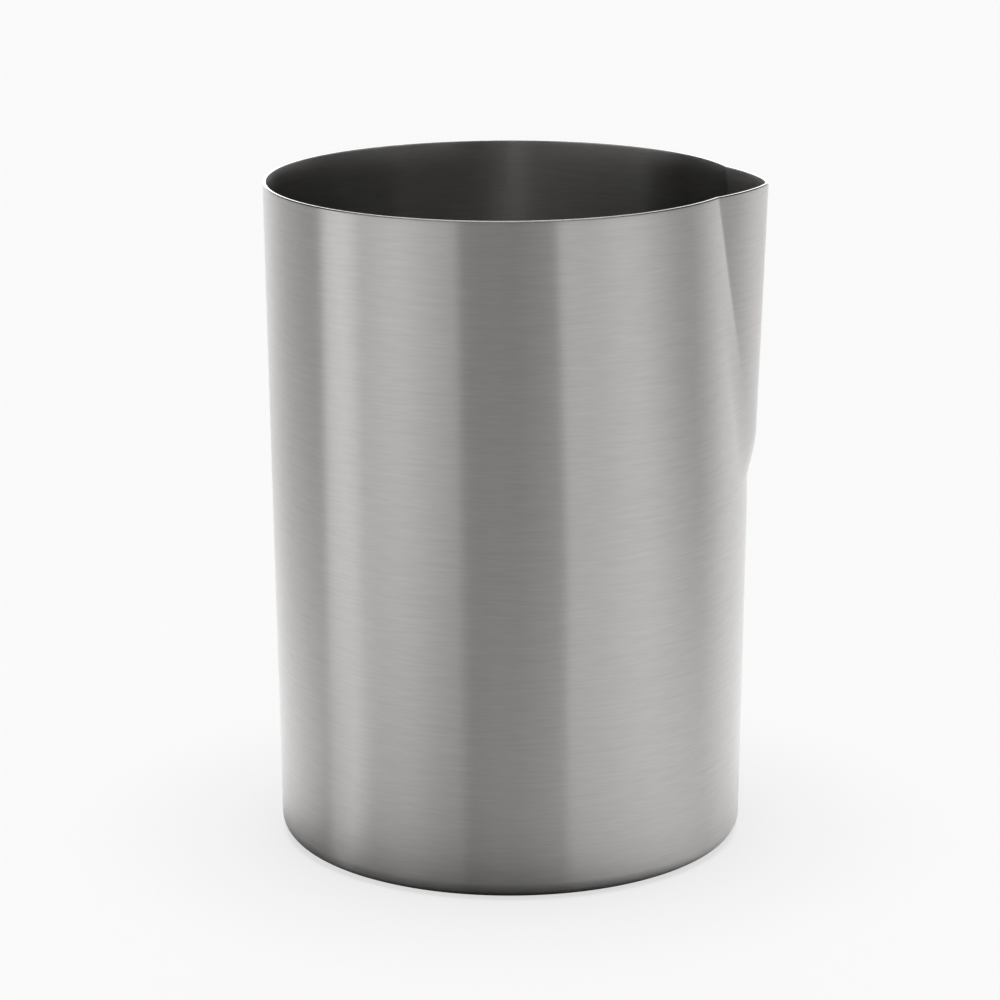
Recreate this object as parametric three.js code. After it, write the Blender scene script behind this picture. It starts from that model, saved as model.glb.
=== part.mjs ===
// Stirring and mixing vessel for a bar: a single-wall cup of brushed stainless steel with a pouring lip
// pressed out of the wall itself. Millimetres, +Z up. The origin is on the vessel's axis, in the plane
// that it stands on, and the lip points along +X.
//
// It is made of two pieces of sheet. wall_sleeve is the tapered tube with the lip. base_dish is the drawn
// bottom: floor, rounded corner and a short upstand. The tube stands on the upstand's edge, where the two
// are butt-welded and ground flush.

import * as THREE from "three";

// Driving dimensions
const HEIGHT = 123.8; // floor to rim
const RIM_RADIUS = 45; // outer radius at the rim, away from the lip
const FOOT_RADIUS = 43.4; // outer radius of the wall carried straight down to the floor
const SHEET = 0.6; // sheet thickness
const CORNER_RADIUS = 3.1; // outer radius between the floor and the wall
const JOINT_HEIGHT = 10; // the weld between the dish and the sleeve

// The pouring lip
const LIP_END = 62; // height where the pressed area dies out
const NOSE_START = 69; // height where the nose begins to stand out of the wall
const NOSE_FULL = 78; // height from which the nose is fully formed
const NOSE_RIM = 2.3; // how far the nose stands out of the cone at the rim
const NOSE_FADE = 0.021; // how much less it stands out for each millimetre further down
const DIP_RIM = 2.65; // how far the wall is drawn inwards beside the lip, at the rim
const DIP_CURVE = 1.3; // above 1, so the inward draw grows faster towards the rim
const DIP_REACH = THREE.MathUtils.degToRad(101); // angle from the nose at which that inward draw ends
const CREASE_ANGLE = THREE.MathUtils.degToRad(21); // angle from the nose to each crease, at the rim
const CREASE_CURVE = 0.85; // below 1, so the creases open out faster at the bottom than near the rim
const SWELL_ANGLE = THREE.MathUtils.degToRad(9); // half the width of the nose's soft lower end
const SWELL_SPREAD = THREE.MathUtils.degToRad(22); // how much wider that would be at the rim
const SOFT_SHARE = 0.35; // share of the way up the lip where the creases begin to sharpen
const SHARP_SHARE = 0.85; // and where they are fully sharp

// Mesh density
const LIP_COLUMNS = 5; // from the nose to a crease
const SIDE_COLUMNS = 30; // from a crease round to the back
const NARROWEST_LIP = THREE.MathUtils.degToRad(5); // the creases and their columns close in to this angle
const PLAIN_ROWS = 3; // from the weld up to the pressed area
const PRESSED_ROWS = 2; // from there up to the nose
const SCOOP_ROWS = 4; // up the nose's rounded lower end
const NOSE_ROWS = 6; // from there up to the rim
const CORNER_STEPS = 6;
const DISH_COLUMNS = 72;

const brushedSteel = new THREE.MeshStandardMaterial({ color: 0xb9b8b6, metalness: 1, roughness: 0.32 });

// Outer radius of the plain cone at height z.
function coneRadius(z) {
  return FOOT_RADIUS + ((RIM_RADIUS - FOOT_RADIUS) * z) / HEIGHT;
}

// 0 at the bottom of the pressed area, 1 at the rim.
function lipShare(z) {
  return Math.max(0, (z - LIP_END) / (HEIGHT - LIP_END));
}

// Angle from the nose to the crease at height z: the two creases run together towards the bottom.
function creaseAngle(z) {
  return Math.max(CREASE_ANGLE * lipShare(z) ** CREASE_CURVE, NARROWEST_LIP);
}

// How far the wall is drawn inwards beside the lip at height z.
function dipDepth(z) {
  return DIP_RIM * lipShare(z) ** DIP_CURVE;
}

// How far the nose stands out of the drawn-in wall at height z: its lower end is a rounded scoop.
function ridgeHeight(z) {
  const formed = THREE.MathUtils.clamp((z - NOSE_START) / (NOSE_FULL - NOSE_START), 0, 1);
  const standsOut = NOSE_RIM - NOSE_FADE * (HEIGHT - z);
  return (standsOut + dipDepth(z)) * Math.sin((formed * Math.PI) / 2);
}

// 1 at angle 0, falling smoothly to 0 at the angle given by reach.
function roundedFall(turn, reach) {
  return turn < reach ? Math.cos((Math.PI / 2) * (turn / reach)) ** 2 : 0;
}

// The nose's level section, as a share of its height: folded along the creases at the rim, and a soft swell
// lower down.
function noseSection(turn, z) {
  const share = lipShare(z);
  const fold = Math.max(0, 1 - turn / creaseAngle(z));
  const swell = roundedFall(turn, SWELL_ANGLE + SWELL_SPREAD * share);
  const sharpness = THREE.MathUtils.smoothstep(share, SOFT_SHARE, SHARP_SHARE);
  return THREE.MathUtils.lerp(swell, fold, sharpness);
}

// Outer radius of the sleeve at an angle from the nose and a height.
function sleeveRadius(angle, z) {
  const turn = Math.abs(angle);
  const dip = dipDepth(z) * roundedFall(turn, DIP_REACH);
  return coneRadius(z) - dip + ridgeHeight(z) * noseSection(turn, z);
}

// The heights of the sleeve's rows, from the weld up to the rim.
function rowHeights() {
  const stretch = (from, to, rows) => Array.from({ length: rows }, (_, i) => from + ((to - from) * i) / rows);
  return [
    ...stretch(JOINT_HEIGHT, LIP_END, PLAIN_ROWS),
    ...stretch(LIP_END, NOSE_START, PRESSED_ROWS),
    ...stretch(NOSE_START, NOSE_FULL, SCOOP_ROWS),
    ...stretch(NOSE_FULL, HEIGHT, NOSE_ROWS),
    HEIGHT,
  ];
}

// The angles of the sleeve's columns at height z, from the back round to the back. The columns beside the
// nose close in with the creases, so a column runs down each crease.
function columnAngles(z) {
  const crease = creaseAngle(z);
  const half = [];
  for (let i = 0; i <= LIP_COLUMNS; i++) half.push((crease * i) / LIP_COLUMNS);
  for (let i = 1; i < SIDE_COLUMNS; i++) half.push(crease + ((Math.PI - crease) * i) / SIDE_COLUMNS);
  const otherHalf = half.slice(1).reverse().map((angle) => -angle);
  return [...otherHalf, ...half, Math.PI];
}

// One ring of the sleeve at height z, moved inwards along its own normal by inset.
function sleeveRing(z, inset) {
  const outline = columnAngles(z).map((angle) => {
    const radius = sleeveRadius(angle, z);
    return new THREE.Vector2(radius * Math.cos(angle), radius * Math.sin(angle));
  });
  const count = outline.length;
  return outline.map((point, i) => {
    const next = outline[(i + 1) % count];
    const previous = outline[(i + count - 1) % count];
    const along = next.clone().sub(previous).normalize();
    return new THREE.Vector3(point.x - along.y * inset, point.y + along.x * inset, z);
  });
}

// Closed surface through rings of equal length, the last ring joined to the first.
function closedLoopOfRings(rings) {
  const count = rings[0].length;
  const positions = rings.flat().flatMap((point) => point.toArray());
  const indices = [];
  rings.forEach((ring, j) => {
    const below = j * count;
    const above = ((j + 1) % rings.length) * count;
    for (let i = 0; i < count; i++) {
      const next = (i + 1) % count;
      indices.push(below + i, below + next, above + next);
      indices.push(below + i, above + next, above + i);
    }
  });
  const geometry = new THREE.BufferGeometry();
  geometry.setAttribute("position", new THREE.Float32BufferAttribute(positions, 3));
  geometry.setIndex(indices);
  return geometry;
}

// Up the outside, over the rim, and down the inside.
function wallSleeve() {
  const heights = rowHeights();
  const outside = heights.map((z) => sleeveRing(z, 0));
  const inside = heights.map((z) => sleeveRing(z, SHEET)).reverse();
  return closedLoopOfRings([...outside, ...inside]);
}

// The dish's section: along the underside, round the corner, up to the joint, and back down the inside.
function dishProfile() {
  const wallRadius = coneRadius(CORNER_RADIUS);
  const centre = new THREE.Vector2(wallRadius - CORNER_RADIUS, CORNER_RADIUS);
  const corner = (radius) => {
    const arc = [];
    for (let i = 0; i <= CORNER_STEPS; i++) {
      const turn = ((Math.PI / 2) * i) / CORNER_STEPS;
      arc.push(new THREE.Vector2(centre.x + radius * Math.sin(turn), centre.y - radius * Math.cos(turn)));
    }
    return arc;
  };
  const jointRadius = coneRadius(JOINT_HEIGHT);
  return [
    new THREE.Vector2(0, 0),
    ...corner(CORNER_RADIUS),
    new THREE.Vector2(jointRadius, JOINT_HEIGHT),
    new THREE.Vector2(jointRadius - SHEET, JOINT_HEIGHT),
    ...corner(CORNER_RADIUS - SHEET).reverse(),
    new THREE.Vector2(0, SHEET),
  ];
}

// LatheGeometry turns its profile about Y, so the dish is stood up with +Z as its axis.
function baseDish() {
  return new THREE.LatheGeometry(dishProfile(), DISH_COLUMNS).rotateX(Math.PI / 2);
}

function piece(name, geometry) {
  geometry.computeVertexNormals();
  const mesh = new THREE.Mesh(geometry, brushedSteel);
  mesh.name = name;
  return mesh;
}

const mixingVessel = new THREE.Group();
mixingVessel.add(piece("wall_sleeve", wallSleeve()));
mixingVessel.add(piece("base_dish", baseDish()));

export default mixingVessel;
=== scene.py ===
"""Looks of a brushed steel mixing vessel: its tapered wall with a pressed pouring lip, and its drawn base.

Metres, +Z up. The origin is on the vessel's axis, in the plane that it stands on, and the lip points
along +X. The wall and the base stand for the two CAD nodes, at a finer mesh and with a worked rim.
"""

import math

import bpy
import numpy as np
from mathutils import Euler, Matrix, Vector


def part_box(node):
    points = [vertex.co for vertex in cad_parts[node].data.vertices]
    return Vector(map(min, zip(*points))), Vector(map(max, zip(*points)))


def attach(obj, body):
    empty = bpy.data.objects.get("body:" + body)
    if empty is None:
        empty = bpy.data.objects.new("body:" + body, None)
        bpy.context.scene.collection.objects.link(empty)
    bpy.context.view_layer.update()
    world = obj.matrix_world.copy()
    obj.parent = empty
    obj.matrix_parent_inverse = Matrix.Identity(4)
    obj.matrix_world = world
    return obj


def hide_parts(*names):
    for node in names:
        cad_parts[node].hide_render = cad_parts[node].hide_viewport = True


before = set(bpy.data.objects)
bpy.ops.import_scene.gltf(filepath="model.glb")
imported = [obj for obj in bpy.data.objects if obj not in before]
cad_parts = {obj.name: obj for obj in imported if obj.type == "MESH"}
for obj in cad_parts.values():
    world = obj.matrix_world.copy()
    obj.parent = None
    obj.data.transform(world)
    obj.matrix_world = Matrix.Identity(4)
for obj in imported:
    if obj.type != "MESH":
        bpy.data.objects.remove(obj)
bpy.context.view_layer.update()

MM = 0.001

# Sizes that the frame gives
wall_low, wall_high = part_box("wall_sleeve")
_, base_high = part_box("base_dish")
HEIGHT = wall_high.z
JOINT_HEIGHT = wall_low.z
RIM_RADIUS = -wall_low.x  # the back of the rim, opposite the lip
JOINT_RADIUS = base_high.x
TAPER = (RIM_RADIUS - JOINT_RADIUS) / (HEIGHT - JOINT_HEIGHT)

# Sheet metal
SHEET = 0.6 * MM
CORNER_RADIUS = 3.1 * MM  # outer radius between the floor and the wall
RIM_ROUNDING = 0.24 * MM  # the rim's outer edge is eased to this radius
RIM_INNER_ROUNDING = 0.08 * MM  # and its inner edge to this one

# The pressed lip
LIP_END = 62 * MM  # height where the pressed area dies out
NOSE_START = 69 * MM  # height where the nose begins to stand out of the wall
NOSE_FULL = 78 * MM  # height from which the nose is fully formed
NOSE_RIM = 2.3 * MM  # how far the nose stands out of the cone at the rim
NOSE_FADE = 0.021  # how much less it stands out for each metre further down, in metres
DIP_RIM = 2.65 * MM  # how far the wall is drawn inwards beside the lip, at the rim
DIP_CURVE = 1.3  # above 1, so the inward draw grows faster towards the rim
DIP_REACH = math.radians(101)  # angle from the nose at which that inward draw ends
CREASE_ANGLE = math.radians(21)  # angle from the nose to each crease, at the rim
CREASE_CURVE = 0.85  # below 1, so the creases open out faster at the bottom than near the rim
NARROWEST_LIP = math.radians(5)  # the creases close in to this angle
SWELL_ANGLE = math.radians(9)  # half the width of the nose's soft lower end
SWELL_SPREAD = math.radians(22)  # how much wider that would be at the rim
SOFT_SHARE = 0.35  # share of the way up the lip where the creases begin to sharpen
SHARP_SHARE = 0.85  # and where they are fully sharp
NOSE_SOFTNESS = 0.12  # how much the nose's edge is rounded, as a share of the angle to the crease
CREASE_SOFTNESS = 0.006  # and how much the creases are

# Mesh density
LIP_HALF = math.radians(36)  # angle to each side of the nose with closer columns
LIP_COLUMNS = 144  # across that part
SIDE_COLUMNS = 216  # from one side of it round the back to the other
LIP_MARGIN = 4 * MM  # the closer rows start this far below the pressed area
PLAIN_ROWS = 12  # from the weld up to there
LIP_ROWS = 89  # from there up to the rim
RIM_STEPS = 4  # round each edge of the rim
DISH_COLUMNS = 240  # round the dish
CORNER_STEPS = 16  # round the dish's corner
UPSTAND_ROWS = 4  # from the corner up to the weld
FLAT_RINGS = (0.04, 0.2, 0.4, 0.6, 0.8, 0.95)  # on the dish's flat floor, as shares of its radius
FLOOR_COLUMNS = 96  # round the studio's floor
SHARP_EDGE = math.radians(50)  # edges that turn by more than this are shaded sharp

# The brushed finish
SHORT_STROKE = (5 * MM, 0.34 * MM)  # length round the vessel, thickness across
LONG_STROKE = (13 * MM, 0.62 * MM)
SHORT_SEED = 1.0
LONG_SEED = 5.0
SHORT_SHARE = 0.65  # how much of the pattern the short strokes make
STROKE_DETAIL = 1.0  # octaves of finer noise within a stroke
STROKE_RANGE = (0.3, 0.7)  # the noise values that stand for the darkest and the lightest stroke
WANDER = 0.25 * MM  # how far a stroke strays across
WANDER_LENGTH = 22 * MM  # and over what length
STEEL_DARK = (0.530, 0.521, 0.511, 1)  # in the darkest stroke
STEEL_LIGHT = (0.604, 0.594, 0.583, 1)  # in the lightest stroke
STEEL_WORN = (0.66, 0.65, 0.64, 1)  # on the rim's edge
ROUGHNESS = (0.277, 0.300)  # in the darkest and the lightest stroke
ANISOTROPY = 1.0
ROUND_THE_AXIS = 0.25  # turn of the brushing from the tangent, as a share of a full turn
RIM_POLISH = 0.5  # how much smoother the rim's edge is worn

# The camera
CAMERA_AZIMUTH = math.radians(6.4)  # from -Y towards +X, so the lip points a little towards the camera
CAMERA_DISTANCE = 644 * MM  # level distance from the vessel's axis
CAMERA_HEIGHT = 231.3 * MM
CAMERA_PITCH = math.radians(14.75)  # below level
CAMERA_ROLL = math.radians(-0.12)
CAMERA_LENS = 128.2  # millimetres
CAMERA_SENSOR = 36  # millimetres across
CAMERA_SHIFT = (-0.0100, 0.0068)
CAMERA_CLIP = (0.01, 50)  # nearest and furthest distance that it sees

# The backdrop and the floor
BACKDROP = 0.97  # the plain white that the camera sees
FLOOR_RADIUS = 12
FLOOR_WHITE = 0.95
FLOOR_GLOW = 0.7  # share of the camera's view of the floor that glows evenly and takes no shadow
PAINTED_LIGHT_SHARE = 0.60  # the floor's painted light that the steel sees, as a share of the brightness of the panel beside it
FLOOR_LIGHT = 2.05  # strength of the light that falls on the floor from overhead
FLOOR_LIGHT_SPREAD = math.radians(36)
FLOOR_LIGHT_HEIGHT = 2
PAINTED_SHADE_CENTRE = (-5.5 * MM, -13.5 * MM, 0)  # the vessel's own shade, painted into the floor's colour that the steel sees, lies round this place
PAINTED_SHADE_REACH = (36 * MM, 52 * MM)  # distances from there over which it clears
PAINTED_SHADE_DEPTH = 0.69  # share of the light that it takes in its middle
FAN_RADIUS = 36 * MM  # the panels' light painted on the floor fans out from a ring of this radius
NEAR_REACH = (80 * MM, 330 * MM)  # distances from the axis over which PANELS take over from the near panels in the floor's painted light

FRONT_OF_RAMP = 0.5  # where the direction towards the camera falls on a ramp of directions

# What stands above the floor, by height on the unit sphere
HORIZON_FADE = (0.01, 0.09)  # where HIGH_PANELS take over from PANELS
CEILING_FADE = (0.20, 0.45)  # where the ceiling takes over from HIGH_PANELS
CEILING = 0.03  # brightness of the ceiling
OVERHEAD_FADE = (0.62, 0.90)  # where a soft light straight overhead takes over from the ceiling
OVERHEAD = 0.6  # brightness of the light overhead

# Brightness of the studio at floor level, at degrees from the camera's side, positive to its right:
# tall softboxes with dark screens between them
# PANELS also go into the floor's colour away from the foot, as painted light that the steel sees
PANELS = [
    (-180, 1.80),
    (-150, 1.62),
    (-128, 1.15),
    (-110, 0.94),
    (-99, 0.96),
    (-95, 2.10),
    (-84, 2.22),
    (-77, 1.82),
    (-73, 1.36),
    (-60, 1.78),
    (-52, 1.86),
    (-40, 1.56),
    (-23.6, 1.22),
    (-21.8, 0.67),
    (-10, 0.61),
    (5, 0.65),
    (15, 0.74),
    (25.4, 0.86),
    (27.2, 1.62),
    (44, 1.58),
    (58, 1.80),
    (68, 1.82),
    (78, 1.52),
    (88, 1.20),
    (95, 1.06),
    (101, 0.96),
    (108, 1.08),
    (116, 1.36),
    (128, 1.72),
    (180, 1.90),
]

# The same, painted into the floor's colour close to the vessel's foot, where the side screens no longer
# show
PAINTED_NEAR_PANELS = [
    (-180, 2.40),
    (-134, 1.92),
    (-112, 1.55),
    (-99, 1.28),
    (-90, 1.64),
    (-80, 1.88),
    (-67, 1.30),
    (-46, 1.30),
    (-33, 1.06),
    (-22, 0.96),
    (-18, 0.78),
    (0, 0.90),
    (24, 1.14),
    (30, 1.46),
    (53, 1.66),
    (75, 1.82),
    (90, 1.82),
    (109, 1.70),
    (134, 1.94),
    (180, 2.40),
]

# The same higher up: it lights the rim and the inside
HIGH_PANELS = [
    (-180, 2.30),
    (-168, 1.60),
    (-150, 0.16),
    (-100, 0.06),
    (-86, 0.16),
    (-74, 0.46),
    (-64, 0.28),
    (-24, 0.25),
    (-14, 0.28),
    (-6, 0.30),
    (-2, 0.26),
    (1, 0.09),
    (16, 0.07),
    (40, 0.10),
    (58, 0.13),
    (72, 0.10),
    (84, 0.14),
    (150, 0.16),
    (168, 1.60),
    (180, 2.30),
]


# ---------------------------------------------------------------- shape


def cone_radius(z):
    """Outer radius of the plain cone at height z."""
    return JOINT_RADIUS + TAPER * (z - JOINT_HEIGHT)


def lip_share(z):
    """0 at the bottom of the pressed area, 1 at the rim."""
    return max(0.0, (z - LIP_END) / (HEIGHT - LIP_END))


def part_way(value, start, end):
    """0 up to start, 1 from end, and straight between."""
    return min(max((value - start) / (end - start), 0.0), 1.0)


def rounded_fall(turn, reach):
    """1 at angle 0, falling smoothly to 0 at the angle given by reach."""
    return np.where(turn < reach, np.cos(np.pi / 2 * turn / reach) ** 2, 0.0)


def nose_section(turn, share):
    """The nose's level section, as a share of its height: folded along the creases at the rim, and a soft
    swell lower down."""
    crease = max(CREASE_ANGLE * share**CREASE_CURVE, NARROWEST_LIP)
    across = np.hypot(turn / crease, NOSE_SOFTNESS) - NOSE_SOFTNESS
    fold = (1 - across + np.hypot(1 - across, CREASE_SOFTNESS)) / (1 + math.hypot(1, CREASE_SOFTNESS))
    swell = rounded_fall(turn, SWELL_ANGLE + SWELL_SPREAD * share)
    part = part_way(share, SOFT_SHARE, SHARP_SHARE)
    sharpness = part**2 * (3 - 2 * part)
    return swell + (fold - swell) * sharpness


def sleeve_radius(angle, z):
    """Outer radius of the wall at angles from the nose, at height z."""
    share = lip_share(z)
    turn = np.abs(angle)
    dip_depth = DIP_RIM * share**DIP_CURVE
    stands_out = NOSE_RIM - NOSE_FADE * (HEIGHT - z)
    formed = part_way(z, NOSE_START, NOSE_FULL)
    ridge_height = (stands_out + dip_depth) * math.sin(formed * math.pi / 2)
    dip = dip_depth * rounded_fall(turn, DIP_REACH)
    return cone_radius(z) - dip + ridge_height * nose_section(turn, share)


def column_angles():
    """Angles of the wall's columns, once round from the lip, closer together across the lip."""
    lip = np.linspace(-LIP_HALF, LIP_HALF, LIP_COLUMNS + 1)
    side = np.linspace(LIP_HALF, 2 * math.pi - LIP_HALF, SIDE_COLUMNS + 1)[1:-1]
    return np.concatenate([lip, side])


def wall_rows():
    """Heights of the wall's rows up to the rim's rounded edge, closer together over the pressed lip."""
    below = np.linspace(JOINT_HEIGHT, LIP_END - LIP_MARGIN, PLAIN_ROWS + 1)
    lip = np.linspace(LIP_END - LIP_MARGIN, HEIGHT - RIM_ROUNDING, LIP_ROWS + 1)[1:]
    return np.concatenate([below, lip])


def wall_ring(angles, z, inset):
    """One ring of the wall at height z, moved inwards along its own level normal by inset."""
    from_nose = np.angle(np.exp(1j * angles))  # within half a turn to each side
    radius = sleeve_radius(from_nose, z)
    x = radius * np.cos(angles)
    y = radius * np.sin(angles)
    along_x = np.roll(x, -1) - np.roll(x, 1)
    along_y = np.roll(y, -1) - np.roll(y, 1)
    length = np.hypot(along_x, along_y)
    x = x - along_y / length * inset
    y = y + along_x / length * inset
    return np.column_stack([x, y, np.full(len(angles), z)])


def quarter_round(radius):
    """(in from the side, down from the top) pairs over a rounded edge, from the side up to the top."""
    turns = np.linspace(0, math.pi / 2, RIM_STEPS + 1)
    return [(radius * (1 - math.cos(turn)), radius * (1 - math.sin(turn))) for turn in turns]


def rim_section():
    """(inset, height) pairs over the top of the sheet, from its outer face to its inner face."""
    outer = [(inwards, HEIGHT - down) for inwards, down in quarter_round(RIM_ROUNDING)]
    inner = [(SHEET - inwards, HEIGHT - down) for inwards, down in quarter_round(RIM_INNER_ROUNDING)]
    return outer + inner[::-1]


def add_mesh(name, points, faces):
    """A smooth-shaded mesh object that keeps its sharp edges."""
    mesh = bpy.data.meshes.new(name)
    mesh.from_pydata(np.asarray(points).tolist(), [], faces)
    mesh.validate()
    mesh.shade_smooth()
    mesh.set_sharp_from_angle(angle=SHARP_EDGE)
    piece = bpy.data.objects.new(name, mesh)
    bpy.context.scene.collection.objects.link(piece)
    return piece


def add_loft(name, rings):
    """A closed mesh through rings of equal length, the last ring joined to the first."""
    count = len(rings[0])
    columns = np.arange(count)
    faces = []
    for j in range(len(rings)):
        low = j * count + columns
        high = (j + 1) % len(rings) * count + columns
        faces.append(np.column_stack([low, np.roll(low, -1), np.roll(high, -1), high]))
    return add_mesh(name, np.concatenate(rings), np.concatenate(faces).tolist())


def make_wall():
    """Up the outside, over the rim, and down the inside."""
    angles = column_angles()
    rows = wall_rows()[:-1]  # the rim's section brings the last one
    outside = [wall_ring(angles, z, 0.0) for z in rows]
    rim = [wall_ring(angles, z, inset) for inset, z in rim_section()]
    inside = [wall_ring(angles, z, SHEET) for z in rows[::-1]]
    return add_loft("vessel_wall", outside + rim + inside)


def dish_profile():
    """(radius, height) pairs of the dish's section: from the first ring of its underside, round the corner
    and up to the weld, and back down the inside to the last ring of its floor."""
    centre = cone_radius(CORNER_RADIUS) - CORNER_RADIUS
    turns = np.linspace(0, math.pi / 2, CORNER_STEPS + 1)

    def corner(radius):
        return [(centre + radius * math.sin(t), CORNER_RADIUS - radius * math.cos(t)) for t in turns]

    flat = [centre * share for share in FLAT_RINGS]
    underside = [(radius, 0.0) for radius in flat]
    floor = [(radius, SHEET) for radius in reversed(flat)]
    heights = np.linspace(CORNER_RADIUS, JOINT_HEIGHT, UPSTAND_ROWS + 1)[1:]
    upstand = [(cone_radius(z), z) for z in heights]
    inner_upstand = [(radius - SHEET, z) for radius, z in reversed(upstand)]
    inner_corner = corner(CORNER_RADIUS - SHEET)[::-1]
    return underside + corner(CORNER_RADIUS) + upstand + inner_upstand + inner_corner + floor


def circle(columns):
    """Points of a level circle of radius 1 round the axis."""
    angles = np.linspace(0, 2 * math.pi, columns, endpoint=False)
    return np.column_stack([np.cos(angles), np.sin(angles), np.zeros(columns)])


def make_base():
    """The dish's section turned round the axis, closed in the middle of its underside and of its floor."""
    round_axis = circle(DISH_COLUMNS)
    rings = [radius * round_axis + (0, 0, z) for radius, z in dish_profile()]
    points = np.concatenate(rings + [[[0, 0, 0]], [[0, 0, SHEET]]])
    last = (len(rings) - 1) * DISH_COLUMNS
    under_middle = last + DISH_COLUMNS
    floor_middle = under_middle + 1
    faces = []
    for i in range(DISH_COLUMNS):
        after = (i + 1) % DISH_COLUMNS
        for low in range(0, last, DISH_COLUMNS):
            high = low + DISH_COLUMNS
            faces.append((low + i, low + after, high + after, high + i))
        faces.append((after, i, under_middle))
        faces.append((last + i, last + after, floor_middle))
    return add_mesh("vessel_base", points, faces)


# ---------------------------------------------------------------- materials


class Nodes:
    """Short calls for building a node tree."""

    def __init__(self, tree):
        self.tree = tree

    def add(self, kind, **settings):
        """A new node. Each setting is the value of an input by that name, or else a property."""
        node = self.tree.nodes.new(kind)
        for name, value in settings.items():
            if name in node.inputs:
                node.inputs[name].default_value = value
            else:
                setattr(node, name, value)
        return node

    def link(self, source, target):
        self.tree.links.new(source, target)

    def math(self, operation, a, b):
        """The operation on a and b, each a socket or a number."""
        node = self.add("ShaderNodeMath", operation=operation)
        for socket, value in zip(node.inputs, (a, b)):
            if isinstance(value, (int, float)):
                socket.default_value = value
            else:
                self.link(value, socket)
        return node.outputs[0]

    def length(self, vector):
        node = self.add("ShaderNodeVectorMath", operation="LENGTH")
        self.link(vector, node.inputs[0])
        return node.outputs["Value"]

    def mix_shaders(self, share, first, second):
        """first where share is 0 and second where it is 1."""
        mix = self.add("ShaderNodeMixShader")
        self.link(share, mix.inputs[0])
        self.link(first.outputs[0], mix.inputs[1])
        self.link(second.outputs[0], mix.inputs[2])
        return mix


def map_range(nodes, value, source, target, **settings):
    """The value carried from the range source to the range target, and held at its ends."""
    node = nodes.add("ShaderNodeMapRange", **settings)
    nodes.link(value, node.inputs["Value"])
    node.inputs["From Min"].default_value = source[0]
    node.inputs["From Max"].default_value = source[1]
    node.inputs["To Min"].default_value = target[0]
    node.inputs["To Max"].default_value = target[1]
    return node.outputs[0]


def smooth_step(nodes, value, start, end):
    """0 up to start, 1 from end, and smooth between."""
    return map_range(nodes, value, (start, end), (0.0, 1.0), interpolation_type="SMOOTHSTEP")


def grey(value):
    return (value, value, value, 1)


def mix_colours(nodes, share, first, second):
    """first where share is 0 and second where it is 1: each is a socket or a colour."""
    mix = nodes.add("ShaderNodeMix", data_type="RGBA")
    nodes.link(share, mix.inputs[0])
    # inputs 6 and 7 and output 2 are this node's colour sockets
    for socket, value in ((mix.inputs[6], first), (mix.inputs[7], second)):
        if isinstance(value, tuple):
            socket.default_value = value
        else:
            nodes.link(value, socket)
    return mix.outputs[2]


def new_material(name):
    """An empty material and the calls that build its nodes."""
    material = bpy.data.materials.new(name)
    material.use_nodes = True
    material.node_tree.nodes.clear()
    return material, Nodes(material.node_tree)


def across_strokes(nodes, place, on_floor):
    """A distance across the brushing: height, with the distance from the axis added on the base."""
    x, y, across = place.outputs
    if on_floor:
        flat = nodes.add("ShaderNodeCombineXYZ")
        nodes.link(x, flat.inputs[0])
        nodes.link(y, flat.inputs[1])
        across = nodes.math("ADD", across, nodes.length(flat.outputs[0]))
    return across


def stroke_noise(nodes, place, across, length, thickness, seed):
    """Noise drawn out into strokes of about this length round the vessel and this thickness across."""
    x, y, _ = place.outputs
    scaled = nodes.add("ShaderNodeCombineXYZ")
    nodes.link(nodes.math("MULTIPLY", x, 1 / length), scaled.inputs[0])
    nodes.link(nodes.math("MULTIPLY", y, 1 / length), scaled.inputs[1])
    nodes.link(nodes.math("MULTIPLY", across, 1 / thickness), scaled.inputs[2])
    noise = nodes.add(
        "ShaderNodeTexNoise", noise_dimensions="4D", W=seed, Scale=1.0, Detail=STROKE_DETAIL
    )
    nodes.link(scaled.outputs[0], noise.inputs["Vector"])
    return noise.outputs[0]


def stroke_pattern(nodes, coordinates, place, on_floor):
    """Short and long strokes together. They wander a little, as hand-held abrasive does."""
    wander = nodes.add("ShaderNodeTexNoise", Scale=1 / WANDER_LENGTH, Detail=0.0)
    nodes.link(coordinates, wander.inputs["Vector"])
    strays = nodes.math("MULTIPLY", wander.outputs[0], WANDER)
    across = nodes.math("ADD", across_strokes(nodes, place, on_floor), strays)
    short = stroke_noise(nodes, place, across, *SHORT_STROKE, SHORT_SEED)
    long = stroke_noise(nodes, place, across, *LONG_STROKE, LONG_SEED)
    share = nodes.math("MULTIPLY", short, SHORT_SHARE)
    return nodes.math("ADD", share, nodes.math("MULTIPLY", long, 1 - SHORT_SHARE))


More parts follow.
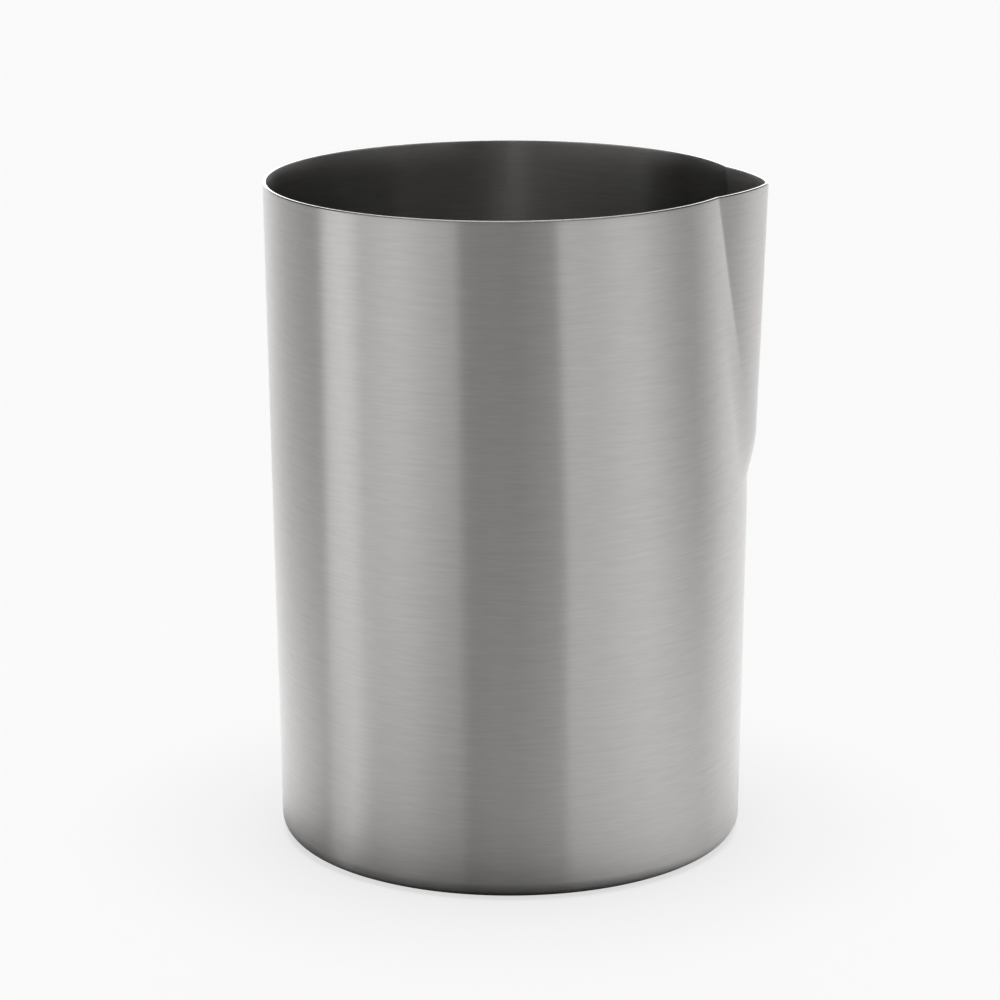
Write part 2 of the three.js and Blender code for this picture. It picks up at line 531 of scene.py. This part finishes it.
def brushed_steel(name, on_floor):
    """Steel brushed round its axis. On the base the strokes run in circles over the floor as well."""
    material, nodes = new_material(name)
    coordinates = nodes.add("ShaderNodeTexCoord").outputs["Object"]
    place = nodes.add("ShaderNodeSeparateXYZ")
    nodes.link(coordinates, place.inputs[0])
    strokes = stroke_pattern(nodes, coordinates, place, on_floor)
    # the rim's edge is polished by wear
    rim = smooth_step(nodes, place.outputs[2], HEIGHT - RIM_ROUNDING, HEIGHT - RIM_ROUNDING / 2)

    shader = nodes.add("ShaderNodeBsdfPrincipled", Metallic=1.0, Anisotropic=ANISOTROPY)
    shader.inputs["Anisotropic Rotation"].default_value = ROUND_THE_AXIS
    tangent = nodes.add("ShaderNodeTangent", direction_type="RADIAL", axis="Z")
    nodes.link(tangent.outputs[0], shader.inputs["Tangent"])

    tone = map_range(nodes, strokes, STROKE_RANGE, (0.0, 1.0))
    brushed = mix_colours(nodes, tone, STEEL_DARK, STEEL_LIGHT)
    nodes.link(mix_colours(nodes, rim, brushed, STEEL_WORN), shader.inputs["Base Color"])
    roughness = map_range(nodes, strokes, STROKE_RANGE, ROUGHNESS)
    wear = nodes.math("SUBTRACT", 1.0, nodes.math("MULTIPLY", rim, RIM_POLISH))
    nodes.link(nodes.math("MULTIPLY", roughness, wear), shader.inputs["Roughness"])

    output = nodes.add("ShaderNodeOutputMaterial")
    nodes.link(shader.outputs[0], output.inputs["Surface"])
    return material


# ---------------------------------------------------------------- studio


def add_camera():
    camera = bpy.data.cameras.new("camera")
    camera.lens = CAMERA_LENS
    camera.sensor_width = CAMERA_SENSOR
    camera.shift_x, camera.shift_y = CAMERA_SHIFT
    camera.clip_start, camera.clip_end = CAMERA_CLIP
    holder = bpy.data.objects.new("camera", camera)
    holder.location = (
        CAMERA_DISTANCE * math.sin(CAMERA_AZIMUTH),
        -CAMERA_DISTANCE * math.cos(CAMERA_AZIMUTH),
        CAMERA_HEIGHT,
    )
    level = Euler((math.pi / 2 - CAMERA_PITCH, 0, CAMERA_AZIMUTH)).to_matrix()
    holder.rotation_euler = (level @ Matrix.Rotation(CAMERA_ROLL, 3, "Z")).to_euler()
    bpy.context.scene.collection.objects.link(holder)
    bpy.context.scene.camera = holder


def direction_on_ramp(nodes, vector):
    """A vector's level direction as a place on a ramp that runs once round the vessel from its back."""
    turned = nodes.add("ShaderNodeMapping")
    turned.inputs["Rotation"].default_value = (0, 0, math.pi / 2 - CAMERA_AZIMUTH)
    nodes.link(vector, turned.inputs["Vector"])
    direction = nodes.add("ShaderNodeTexGradient", gradient_type="RADIAL")
    nodes.link(turned.outputs[0], direction.inputs["Vector"])
    return direction.outputs["Fac"]


def panel_ramp(nodes, along, panels):
    """The panels' brightness at a direction from direction_on_ramp."""
    ramp = nodes.add("ShaderNodeValToRGB")
    stops = ramp.color_ramp.elements
    while len(stops) < len(panels):
        stops.new(FRONT_OF_RAMP)
    for stop, (angle, brightness) in zip(stops, panels):
        stop.position = FRONT_OF_RAMP + angle / 360
        stop.color = grey(brightness)
    nodes.link(along, ramp.inputs["Fac"])
    return ramp.outputs[0]


def fanned_out(nodes, along, distance):
    """The direction on the ramp, fanned out close to the vessel so that each panel's light painted on the
    floor is reflected in a straight band down the wall."""
    fan = nodes.math("SUBTRACT", 1.0, nodes.math("DIVIDE", FAN_RADIUS / 2, distance))
    from_front = nodes.math("SUBTRACT", along, FRONT_OF_RAMP)
    return nodes.math("ADD", nodes.math("DIVIDE", from_front, fan), FRONT_OF_RAMP)


def painted_shade_left(nodes, position):
    """The share of the light that the vessel's own shade, painted on the floor, leaves there."""
    from_shade = nodes.add("ShaderNodeVectorMath", operation="DISTANCE")
    nodes.link(position, from_shade.inputs[0])
    from_shade.inputs[1].default_value = PAINTED_SHADE_CENTRE
    clear = smooth_step(nodes, from_shade.outputs["Value"], *PAINTED_SHADE_REACH)
    return nodes.math("ADD", 1.0 - PAINTED_SHADE_DEPTH, nodes.math("MULTIPLY", clear, PAINTED_SHADE_DEPTH))


def painted_floor_light(nodes):
    """The floor's colour that the steel sees: the panels' light and the vessel's own shade, painted into
    it.
    """
    position = nodes.add("ShaderNodeNewGeometry").outputs["Position"]
    distance = nodes.length(position)
    along = fanned_out(nodes, direction_on_ramp(nodes, position), distance)
    near_light = panel_ramp(nodes, along, PAINTED_NEAR_PANELS)
    far_light = panel_ramp(nodes, along, PANELS)
    light = mix_colours(nodes, smooth_step(nodes, distance, *NEAR_REACH), near_light, far_light)
    scaled = nodes.add("ShaderNodeVectorMath", operation="SCALE")
    nodes.link(light, scaled.inputs[0])
    # the painted shade darkens the floor's painted light
    nodes.link(nodes.math("MULTIPLY", painted_shade_left(nodes, position), PAINTED_LIGHT_SHARE), scaled.inputs["Scale"])
    return scaled.outputs[0]


def floor_material():
    """The camera sees the floor evenly pale; the steel sees painted panel light and painted shade on it.
    """
    material, nodes = new_material("floor_white")
    seen = nodes.add("ShaderNodeLightPath").outputs["Is Camera Ray"]
    lit = nodes.add("ShaderNodeBsdfDiffuse")
    # for the steel the floor's colour is painted light and painted shade; for the camera it is plain white
    nodes.link(mix_colours(nodes, seen, painted_floor_light(nodes), grey(FLOOR_WHITE)), lit.inputs["Color"])
    # some of what the camera sees glows evenly, so that the vessel's shadow stays light
    glow = nodes.add("ShaderNodeEmission", Color=grey(BACKDROP))
    mix = nodes.mix_shaders(nodes.math("MULTIPLY", seen, FLOOR_GLOW), lit, glow)
    output = nodes.add("ShaderNodeOutputMaterial")
    nodes.link(mix.outputs[0], output.inputs["Surface"])
    return material


def add_floor():
    """A large round floor."""
    floor = add_mesh("floor", FLOOR_RADIUS * circle(FLOOR_COLUMNS), [list(range(FLOOR_COLUMNS))])
    floor.data.materials.append(floor_material())
    return floor


def studio_brightness(nodes):
    """The panels all round, the high panels over them, a dark ceiling, and a soft light overhead."""
    direction = nodes.add("ShaderNodeTexCoord").outputs["Generated"]
    split = nodes.add("ShaderNodeSeparateXYZ")
    nodes.link(direction, split.inputs[0])
    height = split.outputs[2]
    along = direction_on_ramp(nodes, direction)
    overhead = smooth_step(nodes, height, *OVERHEAD_FADE)
    ceiling = mix_colours(nodes, overhead, grey(CEILING), grey(OVERHEAD))
    above_panels = smooth_step(nodes, height, *CEILING_FADE)
    high = mix_colours(nodes, above_panels, panel_ramp(nodes, along, HIGH_PANELS), ceiling)
    above_horizon = smooth_step(nodes, height, *HORIZON_FADE)
    return mix_colours(nodes, above_horizon, panel_ramp(nodes, along, PANELS), high)


def add_world():
    """The steel sees the studio, and the camera sees plain white."""
    world = bpy.data.worlds.new("studio")
    bpy.context.scene.world = world
    world.use_nodes = True
    world.node_tree.nodes.clear()
    nodes = Nodes(world.node_tree)
    studio = nodes.add("ShaderNodeBackground")
    nodes.link(studio_brightness(nodes), studio.inputs["Color"])
    plain = nodes.add("ShaderNodeBackground", Color=grey(BACKDROP))
    seen = nodes.add("ShaderNodeLightPath").outputs["Is Camera Ray"]
    mix = nodes.mix_shaders(seen, studio, plain)
    output = nodes.add("ShaderNodeOutputWorld")
    nodes.link(mix.outputs[0], output.inputs["Surface"])


def add_floor_light(floor):
    """A broad light from overhead that falls only on the floor, for a soft shadow under the vessel."""
    sun = bpy.data.lights.new("overhead", "SUN")
    sun.energy = FLOOR_LIGHT
    sun.angle = FLOOR_LIGHT_SPREAD
    holder = bpy.data.objects.new("overhead", sun)
    holder.location = (0, 0, FLOOR_LIGHT_HEIGHT)
    bpy.context.scene.collection.objects.link(holder)
    lit = bpy.data.collections.new("lit_from_overhead")
    lit.objects.link(floor)
    holder.light_linking.receiver_collection = lit


add_camera()
bpy.context.scene.view_settings.view_transform = "Standard"
add_world()
add_floor_light(add_floor())

wall = make_wall()
wall.data.materials.append(brushed_steel("wall_steel", on_floor=False))
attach(wall, "root")
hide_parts("wall_sleeve")

base = make_base()
base.data.materials.append(brushed_steel("base_steel", on_floor=True))
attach(base, "root")
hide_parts("base_dish")
